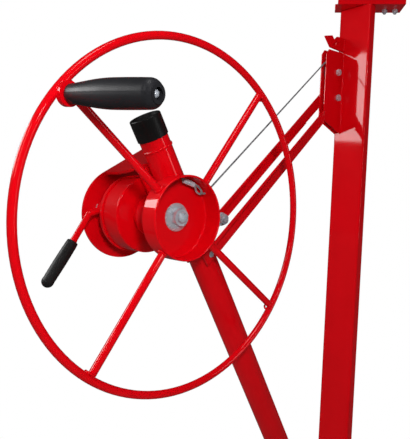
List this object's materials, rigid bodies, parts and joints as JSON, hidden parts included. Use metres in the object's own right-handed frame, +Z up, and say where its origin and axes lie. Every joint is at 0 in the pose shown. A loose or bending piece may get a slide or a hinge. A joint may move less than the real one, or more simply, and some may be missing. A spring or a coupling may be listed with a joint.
{
  "type": "hand wheel cable winch",
  "caption": "Hand wheel cable winch with brake drum and lever on a leaning strut, braced to a mast that carries the cable pulley",
  "frame": {"origin": "centre of the mast's lower end, where it plugs on to its base", "axes": "+Z up the mast, +X from the winch towards the mast and beyond, +Y from the hand wheel back to the brake"},
  "size_m": [0.8533, 0.3129, 1.312],
  "materials": {
    "red_enamel": "glossy red enamel over steel",
    "black_cap_plastic": "black moulded plastic",
    "black_grip_plastic": "black moulded grip, satin",
    "black_grip_rubber": "dipped black rubber",
    "zinc_plate": "bright zinc plate",
    "steel_cable": "stranded galvanised steel",
    "pulley_steel": "turned steel",
    "shoe_iron": "cast, unpainted",
    "friction_lining": "moulded friction lining",
    "bush_bronze": "sintered bronze"
  },
  "bodies": {
    "frame": {"mast": "red_enamel", "strut": "red_enamel", "strut_cap": "black_cap_plastic", "winch_bracket": "red_enamel", "front_bush": "bush_bronze", "rear_bush": "bush_bronze", "front_brace": "red_enamel", "rear_brace": "red_enamel", "strut_bolt": "zinc_plate", "brace_tie_bolt": "zinc_plate", "pulley_bracket": "red_enamel", "pulley_bolt": "zinc_plate", "brace_end_bolt": "zinc_plate", "storage_hook": "red_enamel", "head_pivot_bolt": "zinc_plate", "cable_run": "steel_cable", "cable_end_stop": "steel_cable", "shoe_anchor_pin": "zinc_plate"},
    "head": {"head_plate": "red_enamel", "head_clamp_bolts": "zinc_plate"},
    "pulley": {"pulley": "pulley_steel"},
    "hand_wheel": {"wheel_rim": "red_enamel", "spoke_1": "red_enamel", "spoke_2": "red_enamel", "spoke_3": "red_enamel", "spoke_4": "red_enamel", "hub_cup": "red_enamel", "drum_spacer": "zinc_plate", "brake_drum": "red_enamel", "wheel_shaft": "zinc_plate", "shaft_flange_nut": "zinc_plate", "shaft_rear_collar": "zinc_plate", "cable_anchor": "steel_cable", "cable_sleeve": "zinc_plate", "handle_tab": "red_enamel", "handle_bolt": "zinc_plate", "handle_washer": "zinc_plate"},
    "grip": {"handle_grip": "black_grip_plastic"},
    "lever": {"brake_lever": "red_enamel", "lever_grip": "black_grip_rubber", "brake_cam": "zinc_plate"},
    "upper_shoe": {"upper_shoe": "shoe_iron", "upper_lining": "friction_lining"},
    "lower_shoe": {"lower_shoe": "shoe_iron", "lower_lining": "friction_lining"}
  },
  "joints": [
    {"name": "wheel_spin", "type": "hinge", "parent": "frame", "child": "hand_wheel", "pos_m": [-0.5175, 0, 0.84], "axis": [0, 1, 0], "continuous": true},
    {"name": "grip_spin", "type": "hinge", "parent": "hand_wheel", "child": "grip", "pos_m": [-0.7065, -0.062, 0.983], "axis": [0.22, -0.9722, -0.08], "continuous": true},
    {"name": "pulley_spin", "type": "hinge", "parent": "frame", "child": "pulley", "pos_m": [-0.0305, 0.029, 1.1538], "axis": [0, 1, 0], "continuous": true},
    {"name": "lever_swing", "type": "hinge", "parent": "frame", "child": "lever", "pos_m": [-0.5628, 0.086, 0.84799], "axis": [0, 1, 0], "range_deg": [0, 30]},
    {"name": "upper_shoe_swing", "type": "hinge", "parent": "frame", "child": "upper_shoe", "pos_m": [-0.4722, 0.05, 0.83201], "axis": [0, 1, 0], "range_deg": [0, 0.5]},
    {"name": "lower_shoe_swing", "type": "hinge", "parent": "frame", "child": "lower_shoe", "pos_m": [-0.4722, 0.05, 0.83201], "axis": [0, -1, 0], "range_deg": [0, 0.5]},
    {"name": "head_swivel", "type": "hinge", "parent": "frame", "child": "head", "pos_m": [0, 0, 1.294], "axis": [0, 0, 1], "range_deg": [-90, 90]}
  ],
  "couplings": [
    {"joint": "pulley_spin", "follows": "wheel_spin", "ratio": 1.76},
    {"joint": "upper_shoe_swing", "follows": "lever_swing", "ratio": 0.0166},
    {"joint": "lower_shoe_swing", "follows": "lever_swing", "ratio": 0.0166}
  ]
}
